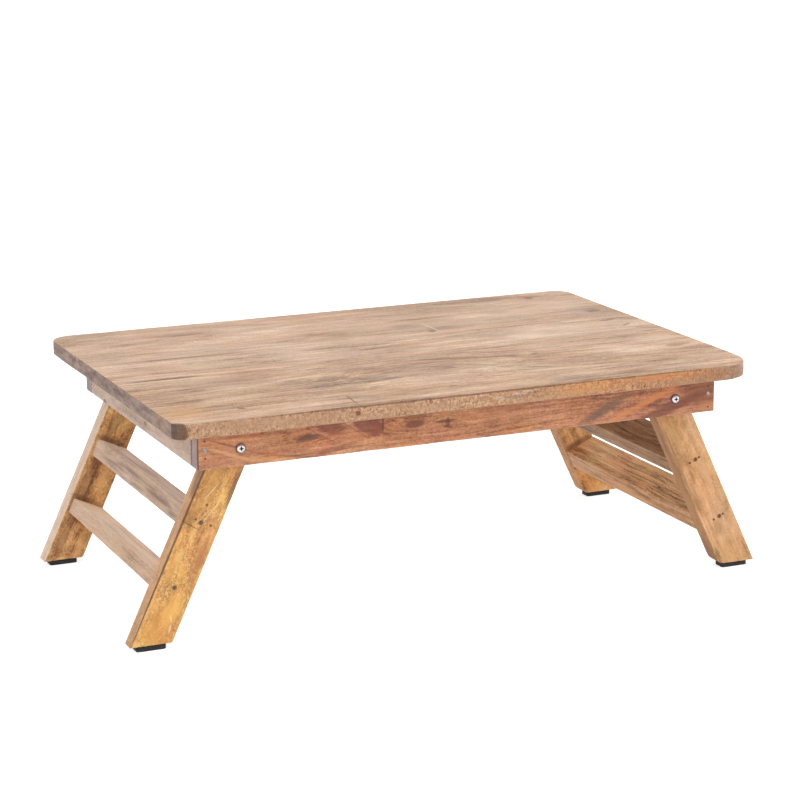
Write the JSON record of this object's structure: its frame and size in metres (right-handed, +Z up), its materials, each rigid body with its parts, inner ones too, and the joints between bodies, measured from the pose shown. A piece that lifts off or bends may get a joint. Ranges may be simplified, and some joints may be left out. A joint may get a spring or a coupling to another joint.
{
  "type": "folding low table",
  "caption": "Low wooden table with a rounded rectangular plank top on an apron frame; two ladder-like leg frames splay out and fold up flat under the top on bolts.",
  "frame": {"origin": "on the floor under the middle of the table", "axes": "+X along the table's length, to the right as seen from the front; +Y from the front to the back; +Z up out of the top"},
  "size_m": [0.6648, 0.42, 0.2255],
  "materials": {
    "top_wood": "matte, worn, open grain",
    "long_apron_wood": "matte, worn, open grain",
    "end_apron_wood": "matte, worn, open grain",
    "left_leg_wood": "matte, worn, open grain",
    "right_leg_wood": "matte, worn, open grain",
    "left_rung_wood": "matte, worn, open grain",
    "right_rung_wood": "matte, worn, open grain",
    "rubber": "matte",
    "zinc": "bright zinc plate",
    "nail_steel": "dull grey"
  },
  "bodies": {
    "table": {"top_plank_front": "top_wood", "top_plank_middle": "top_wood", "top_plank_back": "top_wood", "apron_front": "long_apron_wood", "apron_back": "long_apron_wood", "apron_left": "end_apron_wood", "apron_right": "end_apron_wood", "pivot_bolt_front_left": "zinc", "pivot_bolt_back_left": "zinc", "pivot_bolt_front_right": "zinc", "pivot_bolt_back_right": "zinc", "spacer_washer_front_left": "zinc", "spacer_washer_back_left": "zinc", "spacer_washer_front_right": "zinc", "spacer_washer_back_right": "zinc", "nut_washer_front_left": "zinc", "nut_washer_back_left": "zinc", "nut_washer_front_right": "zinc", "nut_washer_back_right": "zinc", "lock_nut_front_left": "zinc", "lock_nut_back_left": "zinc", "lock_nut_front_right": "zinc", "lock_nut_back_right": "zinc", "corner_nail_front_left": "nail_steel", "corner_nail_back_left": "nail_steel", "corner_nail_front_right": "nail_steel", "corner_nail_back_right": "nail_steel", "corner_brad_upper_front_left": "nail_steel", "corner_brad_upper_back_left": "nail_steel", "corner_brad_upper_front_right": "nail_steel", "corner_brad_upper_back_right": "nail_steel", "corner_brad_lower_front_left": "nail_steel", "corner_brad_lower_back_left": "nail_steel", "corner_brad_lower_front_right": "nail_steel", "corner_brad_lower_back_right": "nail_steel", "top_nail_front_left": "nail_steel", "top_nail_back_left": "nail_steel", "top_nail_front_right": "nail_steel", "top_nail_back_right": "nail_steel"},
    "left_leg_frame": {"leg_front_left": "left_leg_wood", "leg_back_left": "left_leg_wood", "rung_upper_left": "left_rung_wood", "rung_lower_left": "left_rung_wood", "foot_pad_front_left": "rubber", "foot_pad_back_left": "rubber", "rung_nail_upper_front_left": "nail_steel", "rung_nail_upper_back_left": "nail_steel", "rung_nail_lower_front_left": "nail_steel", "rung_nail_lower_back_left": "nail_steel"},
    "right_leg_frame": {"leg_front_right": "right_leg_wood", "leg_back_right": "right_leg_wood", "rung_upper_right": "right_rung_wood", "rung_lower_right": "right_rung_wood", "foot_pad_front_right": "rubber", "foot_pad_back_right": "rubber", "rung_nail_upper_front_right": "nail_steel", "rung_nail_upper_back_right": "nail_steel", "rung_nail_lower_front_right": "nail_steel", "rung_nail_lower_back_right": "nail_steel"}
  },
  "joints": [
    {"name": "left_fold", "type": "hinge", "parent": "table", "child": "left_leg_frame", "pos_m": [-0.22781, 0, 0.1898], "axis": [0, -1, 0], "range_deg": [0, 115]},
    {"name": "right_fold", "type": "hinge", "parent": "table", "child": "right_leg_frame", "pos_m": [0.22428, 0, 0.1898], "axis": [0, 1, 0], "range_deg": [0, 115]}
  ]
}
